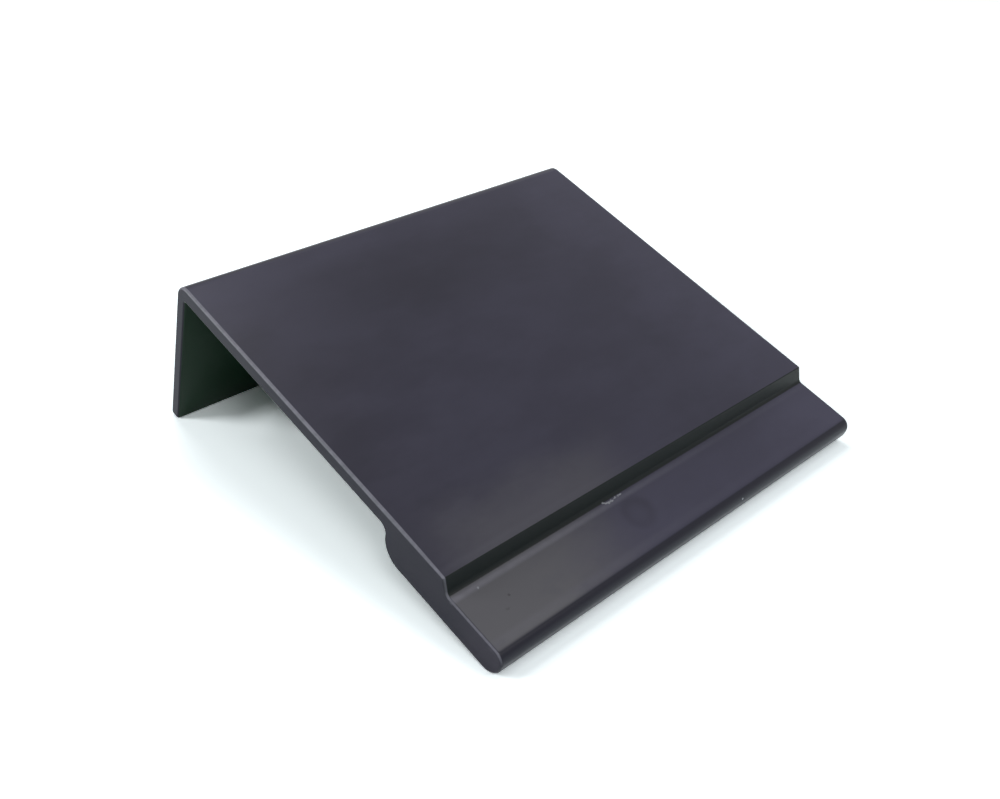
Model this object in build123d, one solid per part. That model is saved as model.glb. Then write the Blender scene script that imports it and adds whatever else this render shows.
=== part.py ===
from build123d import *
import math
import os

# Edge pull: a handle that hangs over the edge of a drawer front or a cabinet door.
# It is one length of extruded aluminium profile, cut square at both ends.
# X runs along the length, -Y points out of the furniture to the lip, and +Z is up.
# The origin is midway between the two screw holes, on the face of the flange that meets the door.

# Length of the profile, and the small rounding along its cut edges
length = 50.0
end_edge_radius = 0.25

# Top plate and the flange at its back
plate_depth = 39.23
plate_thickness = 1.5
flange_height = 17.7
flange_thickness = 1.3
back_corner_radius = 1.4
inside_corner_radius = 0.25
flange_edge_radius = 0.35

# Lip: a lower step in front of the plate, with a rounded nose
step_height = 1.42
step_lean_deg = 30.0
step_edge_radius = 0.15
step_foot_radius = 0.5
lip_reach = 7.77
nose_top_radius = 1.1
nose_bottom_radius = 1.6

# Finger grip: the thick front part, whose wall swings in and out again under the plate
grip_thickness = 4.5
grip_depth = 6.73
grip_wall_lean_deg = 7.5
grip_root_radius = 0.85
grip_edge_radius = 2.4

# Screw holes through the flange, countersunk from the back
hole_spacing = 32.0
hole_drop = 9.0
hole_diameter = 4.0
countersink_diameter = 5.8
countersink_angle_deg = 90.0

# Heights of the section's level faces
top_z = hole_drop
plate_under_z = top_z - plate_thickness
lip_top_z = top_z - step_height
lip_under_z = top_z - grip_thickness
flange_bottom_z = top_z - flange_height

# Places of the section's upright faces, from the door outwards
seat_y = 0.0
back_y = seat_y + flange_thickness
step_y = back_y - plate_depth
step_foot_y = step_y - step_height * math.tan(math.radians(step_lean_deg))
nose_y = step_y - lip_reach
grip_foot_y = step_y + grip_depth
grip_root_y = grip_foot_y + (plate_under_z - lip_under_z) * math.tan(math.radians(grip_wall_lean_deg))

# The section's corners in order, each with the radius that rounds it.
# The radii of the grip's root and edge meet on its wall and make one S-shaped curve.
section_corners = [
    (back_y, top_z, back_corner_radius),
    (back_y, flange_bottom_z, flange_edge_radius),
    (seat_y, flange_bottom_z, flange_edge_radius),
    (seat_y, plate_under_z, inside_corner_radius),
    (grip_root_y, plate_under_z, grip_root_radius),
    (grip_foot_y, lip_under_z, grip_edge_radius),
    (nose_y, lip_under_z, nose_bottom_radius),
    (nose_y, lip_top_z, nose_top_radius),
    (step_foot_y, lip_top_z, step_foot_radius),
    (step_y, top_z, step_edge_radius),
]


def rounding_run(before, corner, after, radius):
    """How far an arc of this radius starts from the corner that it rounds."""
    turn = (corner - before).get_angle(after - corner)
    return radius * math.tan(math.radians(turn / 2))


def radii_that_fit(corners):
    """The corners' radii, smaller only where two arcs would meet on the wall between them."""
    points = [Vector(y, z) for y, z, radius in corners]
    radii = [radius for y, z, radius in corners]
    count = len(points)
    runs = []
    for i, radius in enumerate(radii):
        runs.append(rounding_run(points[i - 1], points[i], points[(i + 1) % count], radius))
    share = [1.0] * count
    for i in range(count):
        after = (i + 1) % count
        wall = (points[after] - points[i]).length
        fit = 0.99 * wall / (runs[i] + runs[after])
        share[i] = min(share[i], fit)
        share[after] = min(share[after], fit)
    return [radius * part for radius, part in zip(radii, share)]


def make_section():
    """The closed section of the extrusion, drawn in the YZ plane."""
    with BuildSketch(Plane.YZ) as section:
        with BuildLine():
            FilletPolyline(
                [(y, z) for y, z, radius in section_corners],
                radius=radii_that_fit(section_corners),
                close=True,
            )
        make_face()
    return section.sketch


def make_edge_pull():
    """One cut length of the profile with its cut edges rounded and its two screw holes."""
    with BuildPart() as handle:
        extrude(make_section(), amount=length / 2, both=True)
        cut_ends = handle.faces().filter_by(Axis.X)
        fillet(cut_ends.edges(), radius=end_edge_radius)
        with Locations(Plane((0, back_y, 0), x_dir=(1, 0, 0), z_dir=(0, 1, 0))):
            with Locations((-hole_spacing / 2, 0), (hole_spacing / 2, 0)):
                CounterSinkHole(
                    radius=hole_diameter / 2,
                    counter_sink_radius=countersink_diameter / 2,
                    counter_sink_angle=countersink_angle_deg,
                    depth=flange_thickness,
                )
    return handle.part


os.makedirs("parts", exist_ok=True)
edge_pull = make_edge_pull()
export_step(edge_pull, "parts/edge_pull.step")
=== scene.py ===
# %% [markdown]
# # Edge pull, dressed in satin black
# This lesson dresses one small furniture handle: a short length of extruded aluminium that hangs over
# the edge of a door. The solid already has the handle's true form, so the lesson is about its skin. We
# load the solid, lay a pale floor under it, light it softly, place the camera, and then build the finish
# layer by layer: the lines from the die, the sawn ends, the painted sheen and dust, the pale edges, which
# are mostly painted highlight, and the marks. The blacks of the faces that are not level are painted shade.

# %% Load the solid and keep its box
import math

import bpy
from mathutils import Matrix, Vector
from mathutils.geometry import convex_hull_2d


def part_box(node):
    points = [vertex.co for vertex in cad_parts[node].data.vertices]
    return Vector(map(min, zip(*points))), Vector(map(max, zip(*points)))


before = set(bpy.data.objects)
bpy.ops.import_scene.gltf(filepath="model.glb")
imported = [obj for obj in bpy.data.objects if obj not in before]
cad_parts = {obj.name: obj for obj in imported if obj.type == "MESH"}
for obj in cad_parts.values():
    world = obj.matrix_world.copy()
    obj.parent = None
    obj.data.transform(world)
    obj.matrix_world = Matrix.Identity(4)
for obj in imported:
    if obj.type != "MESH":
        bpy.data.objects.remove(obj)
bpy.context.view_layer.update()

MM = 0.001
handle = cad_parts["edge_pull"]
low_corner, high_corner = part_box("edge_pull")
print("handle", [round(side / MM, 2) for side in high_corner - low_corner], "mm")

# %% [markdown]
# ## The floor
# The handle has no flat foot. Put down loose, it leans on the lower edge of its flange and on the round
# front of its lip, so the floor is a plane that touches both. The handle could be turned to suit a level
# floor, but it keeps its own frame, so the floor is tilted instead. Seen from the end, that plane is the
# long side of a string pulled round the section: its convex hull. Working it out from the mesh keeps the
# floor right if the handle's sizes change.

# %% Find the line that the handle rests on
METRE_DIGITS = 6


def resting_line(mesh):
    """Where a straight edge would touch the section from below, in front and at the back, as (y, z)."""
    corners = {(round(v.co.y, METRE_DIGITS), round(v.co.z, METRE_DIGITS)) for v in mesh.vertices}
    outline = sorted(corners)
    hull = [Vector(outline[i]) for i in convex_hull_2d(outline)]
    sides = zip(hull, hull[1:] + hull[:1])
    front, back = max(sides, key=lambda side: (side[1] - side[0]).length)
    return (front, back) if front.x < back.x else (back, front)


front_touch, back_touch = resting_line(handle.data)
floor_slope = math.atan2(back_touch.y - front_touch.y, back_touch.x - front_touch.x)
print("floor slope", round(math.degrees(floor_slope), 2), "degrees")

# %% Lay the floor on that line
FLOOR_SIZE = 3.0
touch_middle = (front_touch + back_touch) / 2
bpy.ops.object.select_all(action="DESELECT")
bpy.ops.mesh.primitive_plane_add(
    size=FLOOR_SIZE, location=(0, touch_middle.x, touch_middle.y), rotation=(floor_slope, 0, 0)
)
floor = bpy.context.active_object
floor.name = "floor"
print("floor laid", floor.name)

# %% [markdown]
# ### Its paper
# The photo's white paper is exposed a little past white, so only its darker shadows show. More light would
# do that too, but it would bleach the handle, so the floor's colour does it. It is raised for the camera
# and for mirror and glass rays, while the light that the floor throws on the handle stays that of plain
# pale paper. It is slightly cool, which gives the shadows their tint. Further off, where no shadow falls,
# it passes into plain white, so it has no dark far end. Seen from below, the floor lets the camera look
# through it, so the underside can be viewed too.
#
# A material is made of nodes: small steps, each with inputs and outputs. The first helper here adds one.
# It gives the node its settings, then links or sets each input that it is told about.

# %% Start the floor's material
def add_node(tree, kind, inputs=None, **settings):
    """Add a node. An input is linked to another node's output, or set to a plain value."""
    node = tree.nodes.new(kind)
    for name, value in settings.items():
        setattr(node, name, value)
    for key, value in (inputs or {}).items():
        if isinstance(value, bpy.types.NodeSocket):
            tree.links.new(value, node.inputs[key])
        else:
            node.inputs[key].default_value = value
    return node


floor_material = bpy.data.materials.new("pale_floor")
floor_material.use_nodes = True
floor_tree = floor_material.node_tree
floor_tree.nodes.clear()
print("material started", floor_material.name)

# %% Which rays see the floor
def seen_or_mirrored(tree, path):
    """1 on the rays that show a thing to the camera, straight or by way of a mirror or glass."""
    shown = path.outputs["Is Camera Ray"]
    for name in ("Is Glossy Ray", "Is Transmission Ray"):
        either = add_node(tree, "ShaderNodeMath", {0: shown, 1: path.outputs[name]}, operation="MAXIMUM")
        shown = either.outputs[0]
    return shown


floor_path = add_node(floor_tree, "ShaderNodeLightPath")
floor_seen = seen_or_mirrored(floor_tree, floor_path)
print("floor nodes so far", len(floor_tree.nodes))

# %% Pale paper, brighter to the eye than as light
FLOOR_COLOUR = (0.81, 0.87, 0.885)
GAIN_SEEN = 1.78

gain = add_node(floor_tree, "ShaderNodeMapRange", {"Value": floor_seen, "To Min": 1.0, "To Max": GAIN_SEEN})
paper_colour = add_node(
    floor_tree,
    "ShaderNodeVectorMath",
    {0: FLOOR_COLOUR, "Scale": gain.outputs["Result"]},
    operation="SCALE",
)
paper = add_node(floor_tree, "ShaderNodeBsdfDiffuse", {"Color": paper_colour.outputs[0]})
print("floor colour", FLOOR_COLOUR, "times", GAIN_SEEN, "to the eye")

# %% White further off
PAPER_ENDS, WHITE_STARTS = 0.12, 0.3
WHITE = (1, 1, 1, 1)

floor_places = add_node(floor_tree, "ShaderNodeTexCoord")
distance = add_node(
    floor_tree, "ShaderNodeVectorMath", {0: floor_places.outputs["Object"]}, operation="LENGTH"
)
far_off = add_node(
    floor_tree,
    "ShaderNodeMapRange",
    {"Value": distance.outputs["Value"], "From Min": PAPER_ENDS, "From Max": WHITE_STARTS},
)
far_and_seen = add_node(
    floor_tree, "ShaderNodeMath", {0: far_off.outputs["Result"], 1: floor_seen}, operation="MULTIPLY"
)
white = add_node(floor_tree, "ShaderNodeEmission", {"Color": WHITE})
ground = add_node(
    floor_tree,
    "ShaderNodeMixShader",
    {"Fac": far_and_seen.outputs[0], 1: paper.outputs[0], 2: white.outputs[0]},
)
print("white from", WHITE_STARTS, "m")

# %% Clear to a camera below it
sides = add_node(floor_tree, "ShaderNodeNewGeometry")
from_below = add_node(
    floor_tree,
    "ShaderNodeMath",
    {0: floor_path.outputs["Is Camera Ray"], 1: sides.outputs["Backfacing"]},
    operation="MULTIPLY",
)
clear = add_node(floor_tree, "ShaderNodeBsdfTransparent")
floor_shader = add_node(
    floor_tree,
    "ShaderNodeMixShader",
    {"Fac": from_below.outputs[0], 1: ground.outputs[0], 2: clear.outputs[0]},
)
add_node(floor_tree, "ShaderNodeOutputMaterial", {"Surface": floor_shader.outputs[0]})
floor.data.materials.append(floor_material)
print("floor nodes", len(floor_tree.nodes))

# %% [markdown]
# ## The light
# The world is plain white to the eye and in reflections, and a weak, slightly cool white as light: that is
# the even part. A satin black surface is drawn by what it reflects and a white floor by its shadows, so
# the places and powers of the lamps were fitted to both. The window stands low behind the handle on the
# left and lights the cut edges. The skylight and the back lamp are high and brighten the near corner of
# the lip and the far corner of the plate. The other three stand on the camera's side, and what they leave
# dark is the soft shade under the plate.

# %% World
WORLD_FILL = 0.1
FILL_COLOUR = (0.93, 0.98, 1.0, 1)

world = bpy.data.worlds.new("soft_white")
world.use_nodes = True
world_tree = world.node_tree
world_tree.nodes.clear()
world_seen = seen_or_mirrored(world_tree, add_node(world_tree, "ShaderNodeLightPath"))
fill = add_node(world_tree, "ShaderNodeBackground", {"Color": FILL_COLOUR, "Strength": WORLD_FILL})
backdrop = add_node(world_tree, "ShaderNodeBackground", {"Color": WHITE, "Strength": 1.0})
world_shader = add_node(
    world_tree, "ShaderNodeMixShader", {"Fac": world_seen, 1: fill.outputs[0], 2: backdrop.outputs[0]}
)
add_node(world_tree, "ShaderNodeOutputWorld", {"Surface": world_shader.outputs[0]})
bpy.context.scene.world = world
print("world", bpy.context.scene.world.name)

# %% Lamps
LAMP_DISTANCE = 0.6
LAMP_SIZE = 0.25
LIT_POINT = Vector((0, -0.02, 0))


def soft_lamp(name, azimuth, elevation, power):
    """A round lamp that faces the handle. Azimuth 0 is along X and 90 along Y, both in degrees."""
    turn, rise = math.radians(azimuth), math.radians(elevation)
    towards = Vector((math.cos(turn) * math.cos(rise), math.sin(turn) * math.cos(rise), math.sin(rise)))
    data = bpy.data.lights.new(name, "AREA")
    data.shape = "DISK"
    data.size = LAMP_SIZE
    data.energy = power
    lamp = bpy.data.objects.new(name, data)
    lamp.location = LIT_POINT + towards * LAMP_DISTANCE
    lamp.rotation_euler = towards.to_track_quat("Z", "Y").to_euler()
    bpy.context.scene.collection.objects.link(lamp)


soft_lamp("window", azimuth=140, elevation=15, power=2.1)
soft_lamp("skylight", azimuth=15, elevation=66, power=0.5)
soft_lamp("back_lamp", azimuth=75, elevation=50, power=0.8)
soft_lamp("left_lamp", azimuth=210, elevation=60, power=0.5)
soft_lamp("near_lamp", azimuth=240, elevation=60, power=0.6)
soft_lamp("right_lamp", azimuth=300, elevation=55, power=0.5)

# %% [markdown]
# ## The camera
# The place and lens were worked out from the handle's straight edges in the photo, so the lines of the
# render fall where they fall there. It is a close view, about 110 mm away, which is why the near corner
# looks so large. Blender's usual near limit would cut that corner off, so it is drawn in.

# %% Camera
CAMERA_PLACE_MM = (-68.356, -67.484, 78.642)
CAMERA_TURN_DEG = (45.101, -13.631, -42.116)
SENSOR_WIDTH_MM = 36.0
LENS_MM = 39.59
NEAR_LIMIT = 0.005

camera_data = bpy.data.cameras.new("camera")
camera_data.sensor_width = SENSOR_WIDTH_MM
camera_data.lens = LENS_MM
camera_data.clip_start = NEAR_LIMIT
camera = bpy.data.objects.new("camera", camera_data)
camera.location = [side * MM for side in CAMERA_PLACE_MM]
camera.rotation_euler = [math.radians(turn) for turn in CAMERA_TURN_DEG]
bpy.context.scene.collection.objects.link(camera)
bpy.context.scene.camera = camera
bpy.context.scene.view_settings.view_transform = "Standard"
print("camera", camera.name, LENS_MM, "mm")

# %% [markdown]
# ## The skin
# The real finish is anodised aluminium: the metal's own surface is turned into a thin hard layer, dyed
# black and sealed. It could be a metal under a dark coat, but so much dye hides the metal, so the skin is
# a dull black body under a weak reflection. It is neither mirror nor paint, so its roughness is between
# the two. From here on, short functions each add one node and hand back its output, so that the cells can
# be read as sentences. All sizes are in millimetres, measured from the handle's own origin.

# %% Start the skin: where each point is, and which way it faces
skin = bpy.data.materials.new("satin_black_anodised")
skin.use_nodes = True
skin_tree = skin.node_tree


def number(operation, *values):
    """One step of arithmetic."""
    return add_node(skin_tree, "ShaderNodeMath", dict(enumerate(values)), operation=operation).outputs[0]


def vector(operation, first, second):
    """One step of arithmetic with vectors. To scale one, the second value is a plain number."""
    key = "Scale" if operation == "SCALE" else 1
    node = add_node(skin_tree, "ShaderNodeVectorMath", {0: first, key: second}, operation=operation)
    return node.outputs["Vector"]


def split(value):
    """The X, Y and Z of a vector."""
    return add_node(skin_tree, "ShaderNodeSeparateXYZ", {0: value}).outputs[:]


whereabouts = add_node(skin_tree, "ShaderNodeTexCoord")
place = vector("SCALE", whereabouts.outputs["Object"], 1 / MM)
x, y, z = split(place)
_, facing_y, facing_z = split(whereabouts.outputs["Normal"])
half_length = high_corner.x / MM
from_cut = number("SUBTRACT", half_length, number("ABSOLUTE", x))
print("half length", round(half_length, 3), "mm")

# %% [markdown]
# ## What the die and the saw left
# A profile is pressed through a die, so every long face carries very fine lines along its length. Real
# grooves that fine would take millions of faces, so they are noise squeezed until it hardly changes along
# X, for gloss and bump alone. The ends were cut by a round saw before the part was dyed, so they are
# rougher, and their marks are wide arcs: noise that only depends on the distance from the middle of the
# blade. A fine even grain lies over all of it, from the bath.

# %% Noise, lengths and fades
def clouds(place, per_mm, detail=2.0, roughness=0.55):
    """A noise node; per_mm says how many of its cells lie in a millimetre along X, Y and Z."""
    stretched = vector("MULTIPLY", place, per_mm)
    inputs = {"Vector": stretched, "Scale": 1.0, "Detail": detail, "Roughness": roughness}
    return add_node(skin_tree, "ShaderNodeTexNoise", inputs)


def length(value):
    """How long a vector is."""
    return add_node(skin_tree, "ShaderNodeVectorMath", {0: value}, operation="LENGTH").outputs["Value"]


def fade(value, start, end, low=0.0, high=1.0):
    """Goes smoothly from low to high while the value goes from start to end."""
    inputs = {"Value": value, "From Min": start, "From Max": end, "To Min": low, "To Max": high}
    node = add_node(skin_tree, "ShaderNodeMapRange", inputs, interpolation_type="SMOOTHSTEP")
    return node.outputs["Result"]


die_lines = clouds(place, per_mm=(0.02, 1.3, 1.3), roughness=0.5).outputs["Fac"]
grain = clouds(place, per_mm=(7, 7, 7)).outputs["Fac"]
print("nodes so far", len(skin_tree.nodes))

# %% Saw arcs on the cut ends
BLADE_CENTRE_MM = (0.0, -60.0, -140.0)
CUT_FACE_MM = 0.03

across_cut = vector("MULTIPLY", vector("SUBTRACT", place, BLADE_CENTRE_MM), (0, 1, 1))
blade_radius = add_node(skin_tree, "ShaderNodeCombineXYZ", {"X": length(across_cut)})
saw_arcs = clouds(blade_radius.outputs[0], per_mm=(5.0, 1, 1)).outputs["Fac"]
cut_face = fade(from_cut, CUT_FACE_MM, 0.0)
print("nodes so far", len(skin_tree.nodes))

# %% Lines on the long faces, arcs on the cuts
def chain(operation, values):
    """The same step of arithmetic from each value to the next."""
    result, *others = values
    for value in others:
        result = number(operation, result, value)
    return result


def product(*values):
    return chain("MULTIPLY", values)


def total(*values):
    return chain("ADD", values)


def largest(*values):
    return chain("MAXIMUM", values)


def one_minus(value):
    return number("SUBTRACT", 1.0, value)


lines = total(product(die_lines, one_minus(cut_face)), product(saw_arcs, cut_face))
print("nodes so far", len(skin_tree.nodes))

# %% [markdown]
# ## Painted sheen and dust
# No dyed surface is quite even, and this one has been handled. Level faces are paler than the others,
# because the sheen that they reflect is painted into their colour, and nearly as much on the flange's
# outside. This painted sheen is stronger on the lip, along the back edge, at the far left corner and
# towards the right side, and a dull patch on the plate has hardly any. A greyer, paler colour on the lip's
# near corner and in a streak just behind the step is partly dust and partly painted sheen. A fingertip
# has left a faint round mark on the lip. All this could be painted on a picture and laid over the handle,
# but spots and fades with places in millimetres stay sharp at any size. A slow noise pushes their edges
# about, so none looks drawn.

# %% Slow noise, and places pushed about by it
RAGGED_MM, NUDGED_MM = 7.0, 1.5
NOISE_MIDDLE = (0.5, 0.5, 0.5)


def pushed(noise, reach_mm):
    """Each point's place, pushed about by a noise."""
    push = vector("SUBTRACT", noise.outputs["Color"], NOISE_MIDDLE)
    return vector("ADD", place, vector("SCALE", push, reach_mm))


patches = clouds(place, per_mm=(0.10, 0.17, 0.17), detail=4.0, roughness=0.6)
ragged = pushed(patches, RAGGED_MM)
nudged = pushed(patches, NUDGED_MM)
ragged_x, ragged_y, _ = split(ragged)
print("nodes so far", len(skin_tree.nodes))

# %% The painted sheen
def spot(place, centre, radii, soft):
    """1 in the middle of a round spot, and 0 outside it; soft is the share of its radius that fades."""
    across = vector("DIVIDE", vector("SUBTRACT", place, centre), radii)
    return fade(length(across), 1.0, 1.0 - soft)


on_lip = fade(z, 8.8, 8.2)
far_left_corner = spot(ragged, centre=(-26.0, 1.0, 9.0), radii=(16.0, 15.0, 6.0), soft=0.9)
near_left_edge = product(fade(ragged_x, -16.0, -25.0), fade(ragged_y, -4.0, -10.0))
# Painted sheen: how much paler a level face is drawn, in place of the light it reflects, with a random
# mottle.
painted_sheen = total(
    fade(patches.outputs["Fac"], 0.35, 0.65, low=0.28, high=0.40),
    product(far_left_corner, 0.25),
    fade(ragged_x, 12.0, 26.0, high=0.36),
    fade(y, -4.5, -1.0, high=0.15),
    product(on_lip, fade(y, -37.0, -39.0, high=0.37)),
    product(near_left_edge, -0.2),
)
print("nodes so far", len(skin_tree.nodes))

# %% Where less sheen is painted
LESS_SHEEN_SHARE = 0.85

# Less painted sheen on a dull patch of the plate and its tail, and on a fingertip mark on the lip.
dull_patch = spot(ragged, centre=(-3.0, -8.7, 9.0), radii=(17.0, 8.5, 4.0), soft=0.9)
dull_tail = product(spot(ragged, centre=(-15.0, -15.5, 9.0), radii=(11.0, 6.0, 4.0), soft=0.9), 0.5)
print_round = spot(nudged, centre=(-4.3, -41.4, 7.6), radii=(2.3, 2.3, 1.5), soft=0.5)
print_middle = product(spot(nudged, centre=(-4.5, -41.7, 7.6), radii=(1.7, 1.7, 1.5), soft=0.8), 0.35)
fingertip = product(print_round, number("SUBTRACT", 0.55, print_middle))
sheen_left_off = largest(dull_patch, dull_tail, fingertip)
painted_sheen = product(painted_sheen, one_minus(product(sheen_left_off, LESS_SHEEN_SHARE)))
print("nodes so far", len(skin_tree.nodes))

# %% The dust, partly painted sheen
STREAK_SHARE = 0.46

# A greyer, paler colour on the lip's near corner and in a streak behind the step: partly dust, partly
# painted sheen from the light above.
lip_corner = product(spot(ragged, centre=(-25.0, -42.0, 7.6), radii=(21.0, 14.0, 3.0), soft=0.6), on_lip)
along_step = product(fade(ragged_x, -26.0, -18.0), fade(ragged_x, 1.0, -9.0))
streak = product(along_step, fade(ragged_y, -31.0, -36.5), one_minus(on_lip), STREAK_SHARE)
dust_and_sheen = product(largest(lip_corner, streak), one_minus(fingertip))
print("nodes so far", len(skin_tree.nodes))

# %% [markdown]
# ## Pale edges: painted highlights, partly rubbed
# Edges are what hands and boxes touch first, so the dark layer is thinnest there, but the pale lines here
# are mostly painted highlights. The sharp edges of the two cuts are clearly paler, only where they face
# up, in a line that narrows towards the lip. The long edges that the die made carry a painted highlight,
# only a little paler, and more so towards the near end: the top of the step, its foot, and the start of
# the rounded nose. Blender can find edges by itself, from how the mesh bends, but that changes with the
# size of the triangles. The edges of a profile are straight, so they are named by their place instead.

# %% Pale edges of the cuts: painted highlight, partly wear
EDGE_FADE_MM = 0.1

# Painted highlight, partly wear: the cut edges are paler only where they face up, as a highlight is.
facing_up = fade(facing_z, 0.05, 0.6)
edge_width = fade(y, -42.0, -30.0, low=0.2, high=0.34)
within_edge = fade(number("SUBTRACT", from_cut, edge_width), 0.0, -EDGE_FADE_MM)
cut_edge = product(within_edge, facing_up, fade(z, 8.6, 8.95, low=0.75, high=0.93))
print("nodes so far", len(skin_tree.nodes))

# %% Long edges, a little paler: painted highlight
EVERYWHERE_ALONG_X = 1.0e6
LONG_EDGES = {
    "step_top": {"centre": (0.0, -37.4, 9.15), "reach": 0.55, "share": 0.015},
    "step_foot": {"centre": (0.0, -39.35, 7.6), "reach": 0.45, "share": 0.16},
    "nose_start": {"centre": (0.0, -44.3, 7.6), "reach": 0.7, "share": 0.035},
}


def long_edge(centre, reach, share):
    """A painted highlight: a pale line along X."""
    line = spot(place, centre, radii=(EVERYWHERE_ALONG_X, reach, reach), soft=0.9)
    return product(line, share)


# Painted highlight, stronger towards the near end.
nearer = fade(x, 12.0, -24.0, low=0.4, high=3.4)
long_edges = product(total(*[long_edge(**edge) for edge in LONG_EDGES.values()]), nearer)
unevenly = fade(clouds(place, per_mm=(0.8, 1.6, 1.6), detail=3.0).outputs["Fac"], 0.3, 0.7, low=0.75)
# The pale edges: painted highlight, with some wear on the cut edges, made uneven by a noise.
edge_highlight_and_wear = product(largest(cut_edge, long_edges), unevenly)
print("pale lines", list(LONG_EDGES))

# %% [markdown]
# ## Single marks
# A short crooked scratch lies at the foot of the step, with a speck near the lip's corner and one on the
# nose, all pale. Two faint dark dots lie on the lip. They are finer than the mesh, so they are colour and
# not shape. Their places were read from the photo, and a fine noise shakes their outlines.

# %% Scratch
SHAKEN_MM = 0.5
SCRATCH_MM = [(-6.7, -38.93, 7.6), (-6.1, -39.2, 7.6), (-5.4, -39.1, 7.6), (-4.4, -39.03, 7.6)]
SCRATCH_HALF_WIDTH_MM = 0.13
STROKE_CORE = 0.3


def stroke(place, start, end, half_width):
    """1 along the straight line between two points, and 0 beyond half its width."""
    run = Vector(end) - Vector(start)
    from_start = vector("SUBTRACT", place, start)
    inputs = {0: from_start, 1: run / run.length_squared}
    along = add_node(skin_tree, "ShaderNodeVectorMath", inputs, operation="DOT_PRODUCT").outputs["Value"]
    nearest = vector("SCALE", run, number("MINIMUM", number("MAXIMUM", along, 0.0), 1.0))
    return fade(length(vector("SUBTRACT", from_start, nearest)), half_width, half_width * STROKE_CORE)


flecks = clouds(place, per_mm=(3, 3, 3), detail=3.0)
shaken = pushed(flecks, SHAKEN_MM)
strokes = [stroke(shaken, *ends, SCRATCH_HALF_WIDTH_MM) for ends in zip(SCRATCH_MM, SCRATCH_MM[1:])]
scratch = product(largest(*strokes), fade(flecks.outputs["Fac"], 0.38, 0.55, low=0.1, high=0.6))
print("scratch of", len(strokes), "strokes")

# %% Specks and dots
near_speck = product(spot(shaken, centre=(-22.3, -39.5, 7.6), radii=(0.13, 0.13, 0.3), soft=0.7), 0.42)
nose_speck = spot(place, centre=(6.4, -45.62, 6.97), radii=(0.15, 0.15, 0.15), soft=0.7)
round_dot = product(spot(place, centre=(-20.56, -41.42, 7.6), radii=(0.17, 0.17, 0.3), soft=0.6), 0.45)
long_dot = product(spot(shaken, centre=(-21.55, -42.37, 7.6), radii=(0.35, 0.18, 0.3), soft=0.8), 0.25)
pale_marks = largest(scratch, near_speck, nose_speck)
dark_dots = largest(round_dot, long_dot)
print("nodes so far", len(skin_tree.nodes))

# %% [markdown]
# ## Putting the skin together
# The colour is mixed in layers. Painted sheen and dust lie on the faces that are level or at the very back.
# The other faces have three blacks, which are painted shade: green inside the angle, darkest on the step,
# and more violet on the nose. The sawn ends are painted blacker than all of them, as shade, and a little
# less so at the nose. The pale edges, mostly painted highlight, and the marks come last. Only the colour,
# the roughness and a very slight bump change from place to place. The index of refraction is the same all
# over, so it is set on the shader itself.

# %% The painted shade black of each face, without the painted sheen
# Painted shade: each part that is not level has its own black, matched to how dark it lies: green inside
# the angle, darkest on the step, more violet on the nose.
INNER_SHADE_GREEN = (0.004, 0.023, 0.0095, 1)
STEP_SHADE_BLACK = (0.0005, 0.003, 0.003, 1)
NOSE_SHADE_BLACK = (0.012, 0.012, 0.021, 1)
# Painted shade: the sawn ends are drawn blacker than every other face, a little less so at the nose.
CUT_SHADE_BLACK = (0.002, 0.001, 0.008, 1)
CUT_NOSE_SHADE_BLACK = (0.008, 0.0055, 0.015, 1)
COLOUR_A, COLOUR_B, COLOUR_RESULT = 6, 7, 2


def colour_mix(share, first, second):
    """The first colour where the share is 0, and the second where it is 1."""
    inputs = {0: share, COLOUR_A: first, COLOUR_B: second}
    return add_node(skin_tree, "ShaderNodeMix", inputs, data_type="RGBA").outputs[COLOUR_RESULT]


behind_grip = fade(y, -37.0, -30.0)
behind_nose = fade(y, -43.0, -40.0)
inside_angle = fade(y, 0.1, 0.0)
back_shade_black = colour_mix(inside_angle, CUT_SHADE_BLACK, INNER_SHADE_GREEN)
shaded_face_black = colour_mix(behind_grip, colour_mix(behind_nose, NOSE_SHADE_BLACK, STEP_SHADE_BLACK), back_shade_black)
cut_shade_black = colour_mix(behind_nose, CUT_NOSE_SHADE_BLACK, CUT_SHADE_BLACK)
print("nodes so far", len(skin_tree.nodes))

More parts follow.
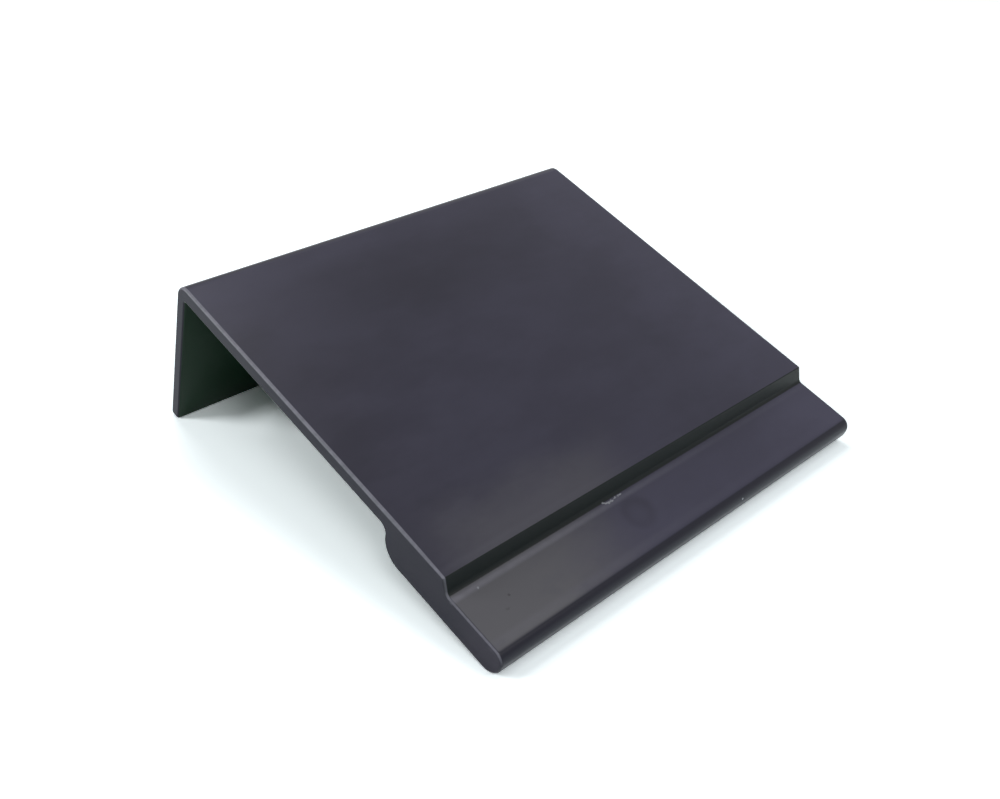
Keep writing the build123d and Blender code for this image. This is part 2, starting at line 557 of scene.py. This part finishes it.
# %% Painted sheen, dust, cuts, painted edge highlights and marks over it
# Painted sheen: level faces are drawn a paler violet where they reflect the light from above, and greyer
# where dust lies; the pale edge colour is mostly a painted highlight.
LEVEL_FACE_BLACK = (0.0155, 0.0145, 0.0265, 1)
SHEEN_BLACK = (0.046, 0.044, 0.073, 1)
DUST_AND_SHEEN_GREY = (0.075, 0.074, 0.084, 1)
EDGE_HIGHLIGHT_AND_WEAR_GREY = (0.17, 0.17, 0.205, 1)
DARK_DOT = (0.003, 0.003, 0.005, 1)
PALE_MARK = (0.4, 0.42, 0.45, 1)

# Painted sheen goes on faces that look up, and up to 0.85 of it on faces that look back.
takes_painted_sheen = largest(fade(facing_z, 0.94, 0.998), fade(facing_y, 0.2, 0.8, high=0.85))
painted_sheen_colour = colour_mix(dust_and_sheen, colour_mix(painted_sheen, LEVEL_FACE_BLACK, SHEEN_BLACK), DUST_AND_SHEEN_GREY)
colour = colour_mix(takes_painted_sheen, shaded_face_black, painted_sheen_colour)
for share, layer in (
    (cut_face, cut_shade_black),
    (edge_highlight_and_wear, EDGE_HIGHLIGHT_AND_WEAR_GREY),
    (dark_dots, DARK_DOT),
    (pale_marks, PALE_MARK),
):
    colour = colour_mix(share, colour, layer)
print("nodes so far", len(skin_tree.nodes))

# %% Gloss and bump
CUT_ROUGHER, MARKS_ROUGHER = 0.12, 0.4
LINES_DEPTH, GRAIN_DEPTH = 0.4, 0.25
BUMP_DISTANCE = 0.002 * MM

roughness = total(
    fade(patches.outputs["Fac"], 0.3, 0.7, low=0.305, high=0.345),
    fade(lines, 0.3, 0.7, low=-0.015, high=0.015),
    product(cut_face, CUT_ROUGHER),
    product(pale_marks, MARKS_ROUGHER),
)
relief = total(product(lines, LINES_DEPTH), product(grain, GRAIN_DEPTH))
bump = add_node(
    skin_tree, "ShaderNodeBump", {"Height": relief, "Strength": 1.0, "Distance": BUMP_DISTANCE}
)
print("nodes so far", len(skin_tree.nodes))

# %% The shader
REFRACTION = 1.26

shader = skin_tree.nodes["Principled BSDF"]
shader.inputs["IOR"].default_value = REFRACTION
skin_tree.links.new(colour, shader.inputs["Base Color"])
skin_tree.links.new(roughness, shader.inputs["Roughness"])
skin_tree.links.new(bump.outputs["Normal"], shader.inputs["Normal"])
for slot in handle.material_slots:
    slot.material = skin
print("skin on", len(handle.material_slots), "slot,", len(skin_tree.nodes), "nodes")
